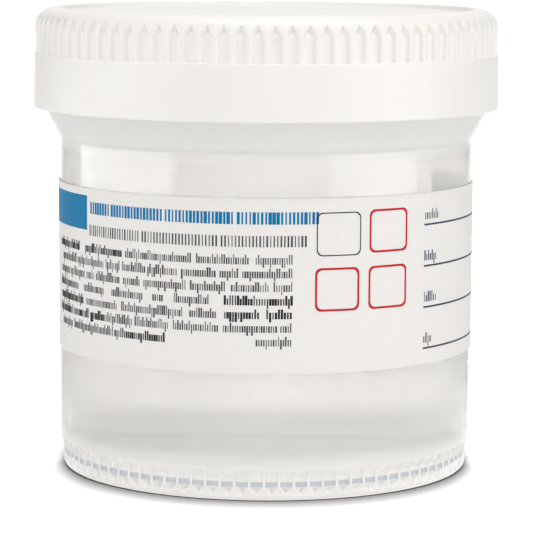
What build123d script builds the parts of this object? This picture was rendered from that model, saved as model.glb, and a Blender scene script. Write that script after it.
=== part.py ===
from build123d import *
from math import atan, copysign, hypot, pi, radians, tan
import os

# Wide-mouth specimen container: a moulded jar with a fluted foot, a fluted screw cap with a
# sealing liner, a wrap label and the liquid inside. Lengths are in millimetres, angles in
# degrees. The jar's axis is Z, its foot stands on Z = 0, and the front of the label faces -Y.

# Jar wall and foot
BODY_RADIUS = 31.6              # outside of the wall, just under the shoulder
BODY_DRAFT = 0.1                # the wall is this much slimmer at the foot
BODY_HEIGHT = 50.4              # stand to shoulder
WALL = 0.95
FLOOR = 1.25
FLOOR_ROUND = 1.0               # inside corner between wall and floor
FOOT_HEIGHT = 4.6
FOOT_STEP = 0.4                 # the foot is set in from the wall by this much
FOOT_STEP_DROP = 1.1            # height over which the wall steps in
FOOT_WALL = 0.8                 # wall behind the flutes
FOOT_ROUND = 1.0                # lower outside edge
INNER_STEP_RISE = 1.05          # the thick foot wall ends this far above the foot
INNER_STEP_RUN = 1.35           # height over which the inside widens
STAND_WIDTH = 2.2               # flat ring on which the jar stands
UNDERSIDE_RECESS = 0.4          # depth of the dished underside
UNDERSIDE_SLOPE = 0.6

# Shoulder and neck
FLARE = 2.55                    # the shoulder widens the jar by this much
SHOULDER_HEIGHT = 4.75
SHOULDER_ROUND = 0.8            # where the wall turns into the shoulder
COLLAR_LAND = 0.6               # short upright edge over the shoulder
COLLAR_STEP = 1.15              # the neck is set in from the collar by this much
COLLAR_ROUND = 0.12
NECK_HEIGHT = 10.9              # collar to rim
NECK_WALL = 1.2
RIM_ROUND = 0.4

# Screw cap
SKIRT_OVERLAP = 0.65            # the skirt reaches this far down past the top of the collar
SKIRT_CLEARANCE = 0.4           # round the collar
SKIRT_WALL = 0.95
SKIRT_ROUND = 0.25
SKIRT_MOUTH_HEAD = 1.0          # the wider mouth of the skirt ends this far above the collar
THREAD_ROOM = 1.0               # gap between neck and skirt, which the thread ridges fill
CEILING_ROUND = 0.4             # inside corner between skirt and ceiling
BAND_HEIGHT = 8.3               # smooth band under the flutes
BAND_DRAFT = 0.1
RIB_SETBACK = 0.15              # the rib crests stand in from the band by this much
BAND_ROUND = 0.12
CAP_TOP = 2.75                  # ceiling to top face
CAP_SHOULDER = 2.8              # round between the ribs and the top face
STACKING_DEPTH = 0.7            # recess that takes the foot of another container
STACKING_CLEARANCE = 0.3
STACKING_ROUND = 0.2

# Pointed flutes, cut between the ribs of the cap and of the foot
FLUTE_COUNT = 90
FLUTE_SIDE_DRAFT = 12.0         # slope of the flute's sides
FLUTE_POINT_DRAFT = 25.0        # slope of the two walls of its pointed end
FLUTE_LEAN = 0.67               # the floor of the pointed end leans in by this share of its height
CAP_RIB_SHARE = 0.28            # share of the pitch that is left as a rib
CAP_FLUTE_DEPTH = 0.55
CAP_FLUTE_TIP = 0.85            # tip of the flute, below the top face
CAP_FLUTE_TAPER = 1.95          # height of the pointed end
FOOT_RIB_SHARE = 0.18
FOOT_FLUTE_DEPTH = 0.35
FOOT_FLUTE_TIP = 0.7            # tip of the flute, above the stand
FOOT_FLUTE_TAPER = 1.2
CUTTER_MARGIN = 0.1             # how far a flute's cutter starts outside the surface

# Liner, label and liquid
LINER_THICKNESS = 0.8
LINER_CLEARANCE = 0.1           # between the liner and the round of the ceiling
LABEL_HEIGHT = 25.4
LABEL_DROP = 6.3                # shoulder to the label's top edge
LABEL_THICKNESS = 0.15
LABEL_GLUE = 0.05               # film of adhesive between the wall and the label
LABEL_LEFT = 100.0              # angle from the front to the label's left end
LABEL_RIGHT = 120.0             # angle from the front to its right end
LIQUID_DEPTH = 30.4             # from the inside of the floor
LIQUID_CLEARANCE = 0.04         # between the liquid's solid and the wall's

# Heights
step_z = FOOT_HEIGHT - FOOT_STEP_DROP
floor_z = UNDERSIDE_RECESS + FLOOR
inner_step_z = FOOT_HEIGHT + INNER_STEP_RISE
wide_z = inner_step_z + INNER_STEP_RUN
collar_z = BODY_HEIGHT + SHOULDER_HEIGHT
neck_z = collar_z + COLLAR_LAND
rim_z = neck_z + NECK_HEIGHT
skirt_z = neck_z - SKIRT_OVERLAP
mouth_z = neck_z + SKIRT_MOUTH_HEAD
ledge_z = skirt_z + BAND_HEIGHT
ceiling_z = rim_z + LINER_THICKNESS
top_z = ceiling_z + CAP_TOP
label_z = BODY_HEIGHT - LABEL_DROP - LABEL_HEIGHT
liquid_z = floor_z + LIQUID_DEPTH

# Radii
body_foot_radius = BODY_RADIUS - BODY_DRAFT
foot_radius = body_foot_radius - FOOT_STEP
foot_bore_radius = foot_radius - FOOT_FLUTE_DEPTH - FOOT_WALL
stand_radius = foot_radius - FOOT_ROUND - STAND_WIDTH
collar_radius = BODY_RADIUS + FLARE
neck_radius = collar_radius - COLLAR_STEP
neck_bore_radius = neck_radius - NECK_WALL
mouth_radius = collar_radius + SKIRT_CLEARANCE
skirt_bore_radius = neck_radius + THREAD_ROOM
cap_radius = mouth_radius + SKIRT_WALL
ledge_radius = cap_radius - BAND_DRAFT
crest_radius = ledge_radius - RIB_SETBACK
stacking_radius = foot_radius + STACKING_CLEARANCE
liner_radius = skirt_bore_radius - CEILING_ROUND - LINER_CLEARANCE


def turned(section):
    """Return the solid turned from a closed half-section of (radius, height, corner round)."""
    corners = [(radius, height) for radius, height, _ in section]
    rounds = [corner_round for _, _, corner_round in section]
    outline = FilletPolyline(*corners, radius=rounds, close=True)
    return revolve(Plane.XZ * make_face(outline), Axis.Z)


def body_radius_at(height):
    """Return the outside radius of the drafted wall at a height."""
    share = (height - FOOT_HEIGHT) / (BODY_HEIGHT - FOOT_HEIGHT)
    return body_foot_radius + BODY_DRAFT * share


def flute_outline(radius, crest, rib_share, open_z, tip_z, taper):
    """Return a flute's half-width, the height where its point begins and its tip, at a radius.

    Inwards from the crest, the sides close in by their draft, and so do the pointed end's walls.
    """
    way = copysign(1, tip_z - open_z)
    inset = crest - radius
    full = pi * crest / FLUTE_COUNT * (1 - rib_share)
    width = full - inset * tan(radians(FLUTE_SIDE_DRAFT))
    tip = tip_z - way * inset * tan(radians(FLUTE_POINT_DRAFT)) * hypot(full, taper) / full
    eave = tip - way * width * taper / full
    return width, eave, tip


def flute_cutter(outer_radius, inner_radius, shape):
    """Return one flute's cutter on the +X side: a drafted slot that ends in a point."""
    _, _, open_z, _, _ = shape
    ends = []
    for radius in (outer_radius, inner_radius):
        width, eave, tip = flute_outline(radius, *shape)
        outline = Polyline(
            (-width, open_z),
            (width, open_z),
            (width, eave),
            (0, tip),
            (-width, eave),
            close=True,
        )
        wall = Plane(origin=(radius, 0, 0), x_dir=(0, 1, 0), z_dir=(1, 0, 0))
        ends.append(wall * make_face(outline))
    return loft(ends, ruled=True)


def fluted(blank, cutter, core):
    """Return the blank with a ring of flutes, each as deep as the core that they leave."""
    ring = [place * cutter for place in PolarLocations(0, FLUTE_COUNT)]
    return blank - [slot - core for slot in ring]


def jar_blank():
    """Return the jar before its foot is fluted."""
    bore_radius = BODY_RADIUS - WALL
    flare_angle = atan(FLARE / SHOULDER_HEIGHT)
    flare_z = BODY_HEIGHT + WALL * tan(flare_angle / 2)
    bore_z = flare_z + (neck_bore_radius - bore_radius) / tan(flare_angle)
    return turned([
        (0, UNDERSIDE_RECESS, 0),
        (stand_radius - UNDERSIDE_SLOPE, UNDERSIDE_RECESS, 0),
        (stand_radius, 0, 0),
        (foot_radius, 0, FOOT_ROUND),
        (foot_radius, step_z, 0),
        (body_foot_radius, FOOT_HEIGHT, 0),
        (BODY_RADIUS, BODY_HEIGHT, SHOULDER_ROUND),
        (collar_radius, collar_z, COLLAR_ROUND),
        (collar_radius, neck_z, COLLAR_ROUND),
        (neck_radius, neck_z, 0),
        (neck_radius, rim_z, RIM_ROUND),
        (neck_bore_radius, rim_z, RIM_ROUND),
        (neck_bore_radius, bore_z, 0),
        (bore_radius, flare_z, 0),
        (body_foot_radius - WALL, wide_z, 0),
        (foot_bore_radius, inner_step_z, 0),
        (foot_bore_radius, floor_z, FLOOR_ROUND),
        (0, floor_z, 0),
    ])


def jar():
    """Return the jar: fluted foot, drafted wall, flared shoulder, collar and neck."""
    shape = (foot_radius, FOOT_RIB_SHARE, FOOT_HEIGHT, FOOT_FLUTE_TIP, FOOT_FLUTE_TAPER)
    flute_floor = foot_radius - FOOT_FLUTE_DEPTH
    _, eave_z, _ = flute_outline(flute_floor, *shape)
    tip_radius = flute_floor - FLUTE_LEAN * (eave_z - FOOT_FLUTE_TIP)
    cutter = flute_cutter(BODY_RADIUS + CUTTER_MARGIN, tip_radius, shape)
    core = turned([
        (0, 0, 0),
        (flute_floor - FLUTE_LEAN * eave_z, 0, 0),
        (flute_floor, eave_z, 0),
        (flute_floor, step_z, 0),
        (body_foot_radius, FOOT_HEIGHT, 0),
        (0, FOOT_HEIGHT, 0),
    ])
    return fluted(jar_blank(), cutter, core)


def cap_blank():
    """Return the screw cap before its side is fluted."""
    return turned([
        (0, ceiling_z, 0),
        (skirt_bore_radius, ceiling_z, CEILING_ROUND),
        (skirt_bore_radius, mouth_z, 0),
        (mouth_radius, mouth_z - (mouth_radius - skirt_bore_radius), 0),
        (mouth_radius, skirt_z, SKIRT_ROUND),
        (cap_radius, skirt_z, SKIRT_ROUND),
        (ledge_radius, ledge_z, BAND_ROUND),
        (crest_radius, ledge_z, 0),
        (crest_radius, top_z, CAP_SHOULDER),
        (stacking_radius, top_z, STACKING_ROUND),
        (stacking_radius, top_z - STACKING_DEPTH, STACKING_ROUND),
        (0, top_z - STACKING_DEPTH, 0),
    ])


def screw_cap():
    """Return the cap: smooth band, fluted grip, round shoulder and stacking recess."""
    tip_z = top_z - CAP_FLUTE_TIP
    shape = (crest_radius, CAP_RIB_SHARE, ledge_z - BAND_HEIGHT / 2, tip_z, CAP_FLUTE_TAPER)
    flute_floor = crest_radius - CAP_FLUTE_DEPTH
    _, eave_z, _ = flute_outline(flute_floor, *shape)
    tip_radius = flute_floor - FLUTE_LEAN * (tip_z - eave_z)
    outer_radius = cap_radius + CUTTER_MARGIN
    cutter = flute_cutter(outer_radius, tip_radius, shape)
    core = turned([
        (0, skirt_z, 0),
        (outer_radius + CUTTER_MARGIN, skirt_z, 0),
        (outer_radius + CUTTER_MARGIN, ledge_z, 0),
        (flute_floor, ledge_z, 0),
        (flute_floor, eave_z, 0),
        (flute_floor - FLUTE_LEAN * (top_z - eave_z), top_z, 0),
        (0, top_z, 0),
    ])
    return fluted(cap_blank(), cutter, core)


def cap_liner():
    """Return the liner, a disc held between the cap's ceiling and the jar's rim."""
    return Pos(0, 0, rim_z) * Cylinder(
        liner_radius, LINER_THICKNESS, align=(Align.CENTER, Align.CENTER, Align.MIN)
    )


def label():
    """Return the wrap label, which follows the wall and leaves a gap at the back."""
    label_top_z = label_z + LABEL_HEIGHT
    low_radius = body_radius_at(label_z) + LABEL_GLUE
    high_radius = body_radius_at(label_top_z) + LABEL_GLUE
    strip = Polyline(
        (low_radius, label_z),
        (low_radius + LABEL_THICKNESS, label_z),
        (high_radius + LABEL_THICKNESS, label_top_z),
        (high_radius, label_top_z),
        close=True,
    )
    sweep = LABEL_LEFT + LABEL_RIGHT
    wrap = revolve(Plane.XZ * make_face(strip), Axis.Z, revolution_arc=sweep)
    front = -90
    return Rotation(0, 0, front - LABEL_LEFT) * wrap


def liquid():
    """Return the liquid, which fills the lower part of the jar."""
    gap = WALL + LIQUID_CLEARANCE
    low_z = floor_z + LIQUID_CLEARANCE
    return turned([
        (0, low_z, 0),
        (foot_bore_radius - LIQUID_CLEARANCE, low_z, FLOOR_ROUND),
        (foot_bore_radius - LIQUID_CLEARANCE, inner_step_z, 0),
        (body_foot_radius - gap, wide_z, 0),
        (body_radius_at(liquid_z) - gap, liquid_z, 0),
        (0, liquid_z, 0),
    ])


os.makedirs("parts", exist_ok=True)
export_step(jar(), "parts/jar.step")
export_step(screw_cap(), "parts/screw_cap.step")
export_step(cap_liner(), "parts/cap_liner.step")
export_step(label(), "parts/label.step")
export_step(liquid(), "parts/liquid_fill.step")
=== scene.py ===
"""A wide-mouth specimen jar with a fluted screw cap, a wrap label and clear liquid."""

import logging
import math
from dataclasses import dataclass, field
from enum import Enum

import bpy
from mathutils import Matrix, Vector


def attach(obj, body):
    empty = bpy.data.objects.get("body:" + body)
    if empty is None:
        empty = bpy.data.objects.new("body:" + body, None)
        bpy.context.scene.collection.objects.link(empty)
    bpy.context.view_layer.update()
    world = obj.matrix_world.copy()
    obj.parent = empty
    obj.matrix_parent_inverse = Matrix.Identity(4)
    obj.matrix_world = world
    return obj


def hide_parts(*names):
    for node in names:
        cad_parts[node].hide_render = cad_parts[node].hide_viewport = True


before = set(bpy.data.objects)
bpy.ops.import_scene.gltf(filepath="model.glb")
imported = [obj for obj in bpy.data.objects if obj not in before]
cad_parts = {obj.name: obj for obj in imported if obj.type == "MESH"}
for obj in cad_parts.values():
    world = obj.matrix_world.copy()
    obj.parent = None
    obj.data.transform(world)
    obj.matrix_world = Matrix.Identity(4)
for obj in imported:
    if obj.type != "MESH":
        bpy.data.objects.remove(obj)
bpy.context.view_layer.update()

MM = 0.001                  # one millimetre in metres
log = logging.getLogger("specimen_jar")

Tree = bpy.types.NodeTree
Node = bpy.types.Node
Socket = bpy.types.NodeSocket
Material = bpy.types.Material
Corner = tuple[float, float, float]     # radius, height and corner round, all in mm
Row = tuple[float, float]               # radius and height, in mm


# ---------------------------------------------------------------- small helpers


def linear(code: str) -> tuple[float, float, float, float]:
    """Turn an sRGB hex code into a linear colour.

    Args:
        code: Six hex digits.

    Returns:
        Linear red, green, blue and an alpha of 1.
    """
    parts = [int(code[i:i + 2], 16) / 255 for i in (0, 2, 4)]
    red, green, blue = [p / 12.92 if p <= 0.04045 else ((p + 0.055) / 1.055) ** 2.4 for p in parts]
    return red, green, blue, 1.0


def in_metres(lengths: tuple[float, ...]) -> tuple[float, ...]:
    """Turn lengths in mm into metres."""
    return tuple(length * MM for length in lengths)


def add_node(tree: Tree, kind: str, inputs: dict | None = None, **settings: object) -> Node:
    """Add a node with its settings and its inputs.

    Args:
        tree: The tree that gets the node.
        kind: The node's type name.
        inputs: Its inputs by name or index, each a fixed value or the socket that feeds it.
        **settings: Properties of the node.

    Returns:
        The new node.
    """
    node = tree.nodes.new(kind)
    for name, value in settings.items():
        setattr(node, name, value)
    for key, value in (inputs or {}).items():
        if isinstance(value, Socket):
            tree.links.new(value, node.inputs[key])
        else:
            node.inputs[key].default_value = value
    return node


def calc(tree: Tree, operation: str, *terms: float | Socket) -> Socket:
    """Add a math node.

    Args:
        tree: The tree that gets the node.
        operation: What it works out.
        *terms: Its inputs in order, each a number or a socket.

    Returns:
        The socket with its result.
    """
    return add_node(tree, "ShaderNodeMath", dict(enumerate(terms)), operation=operation).outputs[0]


def ease(tree: Tree, value: Socket, start: float, end: float,
         low: float | Socket = 0.0, high: float | Socket = 1.0) -> Socket:
    """Add a soft step from one level to another.

    Args:
        tree: The tree that gets the node.
        value: What the step follows.
        start: The value at which it begins.
        end: The value at which it is done.
        low: The level before it.
        high: The level after it.

    Returns:
        The socket with the level.
    """
    ends = {"Value": value, "From Min": start, "From Max": end, "To Min": low, "To Max": high}
    return add_node(tree, "ShaderNodeMapRange", ends, interpolation_type="SMOOTHSTEP").outputs[0]


def mix_value(tree: Tree, factor: Socket, first: float | Socket, second: float | Socket) -> Socket:
    """Add a mix of two numbers and return its socket."""
    return add_node(tree, "ShaderNodeMix", {"Factor": factor, "A": first, "B": second},
                    data_type="FLOAT").outputs[0]


def mix_colour(tree: Tree, factor: Socket, first: str, second: str) -> Socket:
    """Add a mix of two hex colours and return its socket."""
    return add_node(tree, "ShaderNodeMix", {"Factor": factor, 6: linear(first), 7: linear(second)},
                    data_type="RGBA").outputs[2]


def noise(tree: Tree, place: Socket, size: float, detail: float, roughness: float = 0.5) -> Socket:
    """Add a noise texture.

    Args:
        tree: The tree that gets the node.
        place: Where it is read.
        size: Size of its marks in mm.
        detail: Its finer octaves.
        roughness: How much the octaves count.

    Returns:
        The socket with its value.
    """
    return add_node(tree, "ShaderNodeTexNoise", {
        "Vector": place, "Scale": 1 / (size * MM), "Detail": detail, "Roughness": roughness,
    }).outputs["Fac"]


def raise_surface(tree: Tree, shader: Node, height: Socket, depth: float,
                  strength: float = 1.0) -> None:
    """Let a texture raise a shader's surface.

    Args:
        tree: The material's tree.
        shader: Its Principled shader.
        height: The texture's value.
        depth: How far the surface rises, in mm.
        strength: Share of that rise which shows.
    """
    bump = add_node(tree, "ShaderNodeBump",
                    {"Height": height, "Strength": strength, "Distance": depth * MM})
    tree.links.new(bump.outputs["Normal"], shader.inputs["Normal"])


def let_light_through(tree: Tree, shader: Node, share: float) -> None:
    """Let a share of the lamps' light pass a clear wall, which a shadow ray alone would stop.

    Args:
        tree: The material's tree.
        shader: Its Principled shader.
        share: Share of the light that passes.
    """
    path = add_node(tree, "ShaderNodeLightPath")
    level = calc(tree, "MULTIPLY", path.outputs["Is Shadow Ray"], share)
    clear = add_node(tree, "ShaderNodeBsdfTransparent")
    mixed = add_node(tree, "ShaderNodeMixShader",
                     {0: level, 1: shader.outputs[0], 2: clear.outputs[0]})
    tree.links.new(mixed.outputs[0], tree.nodes["Material Output"].inputs["Surface"])


def link(obj: bpy.types.Object) -> bpy.types.Object:
    """Put an object into the scene and return it."""
    bpy.context.scene.collection.objects.link(obj)
    return obj


def mesh_from(name: str, points: list[tuple], faces: list[tuple],
              edges: list[tuple] | None = None) -> bpy.types.Mesh:
    """Build a mesh from points in mm.

    Args:
        name: The mesh's name.
        points: Places in mm.
        faces: Indices of each face, counter-clockwise as seen from outside.
        edges: Loose edges, for a mesh that a node tree turns into shapes.

    Returns:
        The mesh, in metres.
    """
    mesh = bpy.data.meshes.new(name)
    mesh.from_pydata([tuple(c * MM for c in p) for p in points], edges or [], faces)
    mesh.validate()
    mesh.update()
    return mesh


def grown(name: str, base: bpy.types.Mesh, tree: Tree, settings: dict) -> bpy.types.Object:
    """Run a Geometry Nodes tree on a mesh and keep the result as a plain mesh.

    Args:
        name: The finished piece's name.
        base: The mesh that the tree starts from.
        tree: The tree, with named inputs.
        settings: Values of its inputs, by input name.

    Returns:
        The finished piece, with no modifier left on it.
    """
    piece = link(bpy.data.objects.new(name, base))
    modifier = piece.modifiers.new("grow", "NODES")
    modifier.node_group = tree
    for item in tree.interface.items_tree:
        if item.item_type == "SOCKET" and item.in_out == "INPUT" and item.name in settings:
            modifier[item.identifier] = settings[item.name]
    graph = bpy.context.evaluated_depsgraph_get()
    result = bpy.data.meshes.new_from_object(
        piece.evaluated_get(graph), preserve_all_data_layers=True, depsgraph=graph)
    piece.modifiers.remove(modifier)
    piece.data = result
    result.name = name
    return piece


def smoothed(piece: bpy.types.Object, sharp_degrees: float = 50.0) -> bpy.types.Object:
    """Shade a piece smooth, with edges over an angle kept sharp, and return it."""
    piece.data.shade_smooth()
    piece.data.set_sharp_from_angle(angle=math.radians(sharp_degrees))
    return piece


def rounded(corners: list[Corner], step_degrees: float = 12.0) -> list[Row]:
    """Round the corners of a half-section.

    Args:
        corners: The open outline, from the axis and back to it.
        step_degrees: Turn of the outline from one point of a round to the next.

    Returns:
        Points of the outline, each a radius and a height.
    """
    rows: list[Row] = []
    for index, (radius, height, corner_round) in enumerate(corners):
        here = Vector((radius, height))
        if corner_round == 0 or index in (0, len(corners) - 1):
            rows.append((radius, height))
            continue
        before = (Vector(corners[index - 1][:2]) - here).normalized()
        after = (Vector(corners[index + 1][:2]) - here).normalized()
        half = before.angle(after) / 2
        centre = here + (before + after).normalized() * (corner_round / math.sin(half))
        start = here + before * (corner_round / math.tan(half)) - centre
        end = here + after * (corner_round / math.tan(half)) - centre
        turn = math.pi - 2 * half
        steps = max(2, math.ceil(math.degrees(turn) / step_degrees))
        for step in range(steps + 1):
            share = step / steps
            arm = start * math.sin((1 - share) * turn) + end * math.sin(share * turn)
            rows.append(tuple(centre + arm / math.sin(turn)))
    return rows


def with_rows(rows: list[Row], heights: list[float], outside: float) -> list[Row]:
    """Add rows where an outline passes given heights.

    Args:
        rows: The outline.
        heights: Heights at which a row is wanted, in mm.
        outside: Only stretches wholly outside this radius get new rows.

    Returns:
        The outline with the new rows in place.
    """
    full = [rows[0]]
    for (r0, z0), (r1, z1) in zip(rows, rows[1:]):
        low, high = min(z0, z1), max(z0, z1)
        if min(r0, r1) > outside and high - low > 1e-6:
            between = [z for z in heights if low + 1e-4 < z < high - 1e-4]
            for z in sorted(between, reverse=z1 < z0):
                full.append((r0 + (r1 - r0) * (z - z0) / (z1 - z0), z))
        full.append((r1, z1))
    return full


WHITE = linear("FFFFFF")


# ---------------------------------------------------------------- finishes


@dataclass(frozen=True)
class Finish:
    """What every finish shares: a name and a colour."""

    name: str
    tint: str

    def blank(self, levels: dict[str, object]) -> tuple[Material, Tree, Node, Socket]:
        """Make a node material in the finish's colour.

        Args:
            levels: Fixed inputs of its Principled shader, by name.

        Returns:
            The material, its tree, its shader and the socket with object coordinates.
        """
        material = bpy.data.materials.new(self.name)
        material.use_nodes = True
        material.diffuse_color = linear(self.tint)
        tree = material.node_tree
        shader = tree.nodes["Principled BSDF"]
        for key, level in ({"Base Color": linear(self.tint)} | levels).items():
            shader.inputs[key].default_value = level
        return material, tree, shader, add_node(tree, "ShaderNodeTexCoord").outputs["Object"]


@dataclass(frozen=True)
class Polypropylene(Finish):
    """What both grades of polypropylene share: a satin surface, and light carried inside."""

    roughness: float = 0.36
    ior: float = 1.49
    scatter: float = 0.25
    scatter_mm: tuple[float, float, float] = (0.9, 0.85, 0.8)
    let_through: float = 0.75       # share of the lamps' light that passes the wall

    def moulded(self) -> tuple[Material, Tree, Node, Socket]:
        """Make the material with those levels, before its grain and clarity."""
        return self.blank({
            "Roughness": self.roughness, "IOR": self.ior, "Subsurface Weight": self.scatter,
            "Subsurface Radius": in_metres(self.scatter_mm), "Subsurface Scale": 1.0})


@dataclass(frozen=True)
class NaturalPolypropylene(Polypropylene):
    """Unpigmented polypropylene, injection moulded: a milky wall that blurs what is behind it."""

    clarity: float = 0.64           # of the drafted wall; the rest scatters
    foot_share: float = 0.4         # share of that clarity which the thick foot keeps
    shoulder_share: float = 0.35    # and which the flared shoulder keeps
    foot_z_mm: tuple[float, float] = (3.5, 7.5)
    shoulder_z_mm: tuple[float, float] = (48.5, 51.5)
    roughness: float = 0.06
    scatter: float = 0.8
    scatter_mm: tuple[float, float, float] = (0.5, 0.48, 0.46)
    let_through: float = 0.93
    painted_shade_z_mm: tuple[float, float] = (2.05, 2.8)      # painted shade: a darker band on the flute floors at this height, where the thick corner looks dark
    painted_shade_radius_mm: tuple[float, float] = (30.55, 30.95)
    painted_shade_tint: str = "CDD3D9"
    painted_shade_soft: tuple[float, float] = (0.4, 0.6)       # its fading edge, in shares of its width
    ripple_mm: float = 9.0          # slow waves left by the melt's flow, stretched along the height
    ripple_stretch: float = 0.25
    ripple_height_mm: float = 0.012

    def band(self, tree: Tree, source: Socket, limits: tuple[float, float]) -> Socket:
        """Return the socket that is 1 between two limits in mm and fades to 0 at both."""
        start, end = in_metres(limits)
        off = calc(tree, "ABSOLUTE", calc(tree, "SUBTRACT", source, (start + end) / 2))
        inner, outer = self.painted_shade_soft
        return ease(tree, off, (end - start) * inner, (end - start) * outer, 1.0, 0.0)

    def build(self) -> Material:
        """Make the material: a clear share that blurs, a white share that scatters, and a band of
        painted shade on the flute floors.
        """
        material, tree, shader, place = self.moulded()
        spot = add_node(tree, "ShaderNodeSeparateXYZ", {0: place}).outputs
        foot = ease(tree, spot["Z"], *in_metres(self.foot_z_mm), self.clarity * self.foot_share,
                    self.clarity)
        shoulder = ease(tree, spot["Z"], *in_metres(self.shoulder_z_mm), 1.0, self.shoulder_share)
        tree.links.new(calc(tree, "MULTIPLY", foot, shoulder), shader.inputs["Transmission Weight"])
        flat = add_node(tree, "ShaderNodeCombineXYZ", {"X": spot["X"], "Y": spot["Y"]}).outputs[0]
        out = add_node(tree, "ShaderNodeVectorMath", {0: flat}, operation="LENGTH").outputs["Value"]
        # painted shade: the flute floors at the thick corner get a darker slate tint
        corner = calc(tree, "MULTIPLY", self.band(tree, spot["Z"], self.painted_shade_z_mm),
                      self.band(tree, out, self.painted_shade_radius_mm))
        tone = mix_colour(tree, corner, self.tint, self.painted_shade_tint)
        tree.links.new(tone, shader.inputs["Base Color"])
        flow = add_node(tree, "ShaderNodeMapping",
                        {"Vector": place, "Scale": (1.0, 1.0, self.ripple_stretch)}).outputs[0]
        ripple = noise(tree, flow, self.ripple_mm, 2.0, 0.45)
        raise_surface(tree, shader, ripple, self.ripple_height_mm)
        let_light_through(tree, shader, self.let_through)
        return material


@dataclass(frozen=True)
class WhiteCapPlastic(Polypropylene):
    """White-pigmented polypropylene from a fine-spark-eroded mould: satin, with soft lit edges."""

    grain_mm: float = 0.35
    grain_height_mm: float = 0.004

    def build(self) -> Material:
        """Make the material, with the mould's fine grain and a little light carried inside."""
        material, tree, shader, place = self.moulded()
        raise_surface(tree, shader, noise(tree, place, self.grain_mm, 3.0), self.grain_height_mm)
        let_light_through(tree, shader, self.let_through)
        return material


@dataclass(frozen=True)
class CoatedPaper(Finish):
    """Semi-gloss coated label paper: near white, with a faint fibre mottle under its coat."""

    thin_tint: str = "EDEAE7"
    mottle: tuple[float, float] = (0.3, 0.7)    # fibre values at which the two colours are reached
    fibre_mm: float = 0.8
    fibre_height_mm: float = 0.002
    let_through: float = 0.4

    def build(self) -> Material:
        """Make the material, mottled by a percent or two."""
        material, tree, shader, place = self.blank({"Roughness": 0.5, "Specular IOR Level": 0.4})
        fibre = noise(tree, place, self.fibre_mm, 4.0, 0.6)
        tone = add_node(tree, "ShaderNodeValToRGB", {"Fac": fibre})
        tints = (self.thin_tint, self.tint)
        for stop, at, tint in zip(tone.color_ramp.elements, self.mottle, tints):
            stop.position = at
            stop.color = linear(tint)
        tree.links.new(tone.outputs["Color"], shader.inputs["Base Color"])
        raise_surface(tree, shader, fibre, self.fibre_height_mm)
        let_light_through(tree, shader, self.let_through)
        return material


@dataclass(frozen=True)
class PrintInk(Finish):
    """Label ink, thermally printed: flat colour with slightly uneven cover."""

    bare_tint: str = "E4E6E8"
    bare_share: float = 0.04        # of the paper that shows where the ink lies thinnest
    cover_mm: float = 0.25

    def build(self) -> Material:
        """Make the material: the ink's colour, a shade lighter where it lies thin."""
        material, tree, shader, place = self.blank({"Roughness": 0.45, "Specular IOR Level": 0.08})
        share = add_node(tree, "ShaderNodeMapRange", {
            "Value": noise(tree, place, self.cover_mm, 2.0), "From Min": 0.5, "From Max": 0.8,
            "To Min": 0.0, "To Max": self.bare_share}).outputs[0]
        tone = mix_colour(tree, share, self.tint, self.bare_tint)
        tree.links.new(tone, shader.inputs["Base Color"])
        return material


@dataclass(frozen=True)
class LinerFoam(Finish):
    """Closed-cell polyethylene foam: matt and white, with fine cells."""

    cell_mm: float = 0.4
    cell_depth_mm: float = 0.03

    def build(self) -> Material:
        """Make the material, with the cells as a fine bump."""
        material, tree, shader, place = self.blank({"Roughness": 0.8})
        cells = add_node(tree, "ShaderNodeTexVoronoi",
                         {"Vector": place, "Scale": 1 / (self.cell_mm * MM)})
        raise_surface(tree, shader, cells.outputs["Distance"], self.cell_depth_mm, 0.6)
        return material


@dataclass(frozen=True)
class ClearLiquid(Finish):
    """A thin, clear, water-like liquid."""

    ior: float = 1.333
    swell_mm: float = 12.0
    swell_height_mm: float = 0.01

    def build(self) -> Material:
        """Make the material: clear, with the faintest unevenness in its surface."""
        material, tree, shader, place = self.blank(
            {"Roughness": 0.02, "IOR": self.ior, "Transmission Weight": 1.0})
        raise_surface(tree, shader, noise(tree, place, self.swell_mm, 1.0), self.swell_height_mm)
        let_light_through(tree, shader, 1.0)
        return material


class Slot(Enum):
    """The record's material slots."""

    JAR = "jar_polypropylene"
    CAP = "cap_white"
    LINER = "liner_foam"
    PAPER = "label_paper"
    LIQUID = "clear_liquid"


JAR_PLASTIC = NaturalPolypropylene("moulded_natural_polypropylene", "FBF8F4")
CAP_PLASTIC = WhiteCapPlastic("moulded_white_polypropylene", "F5F2EE")
PAPER = CoatedPaper("coated_label_paper", "F0EDEA")
FOAM = LinerFoam("polyethylene_liner_foam", "ECECEA")
LIQUID = ClearLiquid("clear_liquid", "FFFFFF")
TEAL_INK = PrintInk("teal_ink", "0079AC")
RED_INK = PrintInk("red_ink", "CB2428")
GREY_INK = PrintInk("grey_ink", "4A4A50")
DARK_INK = PrintInk("dark_ink", "28282C")
LINE_INK = PrintInk("slate_ink", "3E4658")


# ---------------------------------------------------------------- node trees for geometry


WALL_INPUTS = [
    ("Thickness", "Float", 0.02 * MM),
    ("Foot radius", "Float", 31 * MM),
    ("Slope", "Float", 0.0),
    ("Material", "Material", None),
]


def new_tree(name: str, inputs: list[tuple[str, str, object]]) -> tuple[Tree, dict[str, Socket]]:
    """Start a Geometry Nodes tree.

    Args:
        name: The tree's name.
        inputs: Each input's name, kind and default value.

    Returns:
        The tree, and its input sockets by name.
    """
    tree = bpy.data.node_groups.new(name, "GeometryNodeTree")
    tree.interface.new_socket("Geometry", in_out="INPUT", socket_type="NodeSocketGeometry")
    for label, kind, value in inputs:
        made = tree.interface.new_socket(label, in_out="INPUT", socket_type=f"NodeSocket{kind}")
        if value is not None:
            made.default_value = value
    tree.interface.new_socket("Geometry", in_out="OUTPUT", socket_type="NodeSocketGeometry")
    entry = tree.nodes.new("NodeGroupInput")
    return tree, {socket.name: socket for socket in entry.outputs if socket.name}


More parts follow.
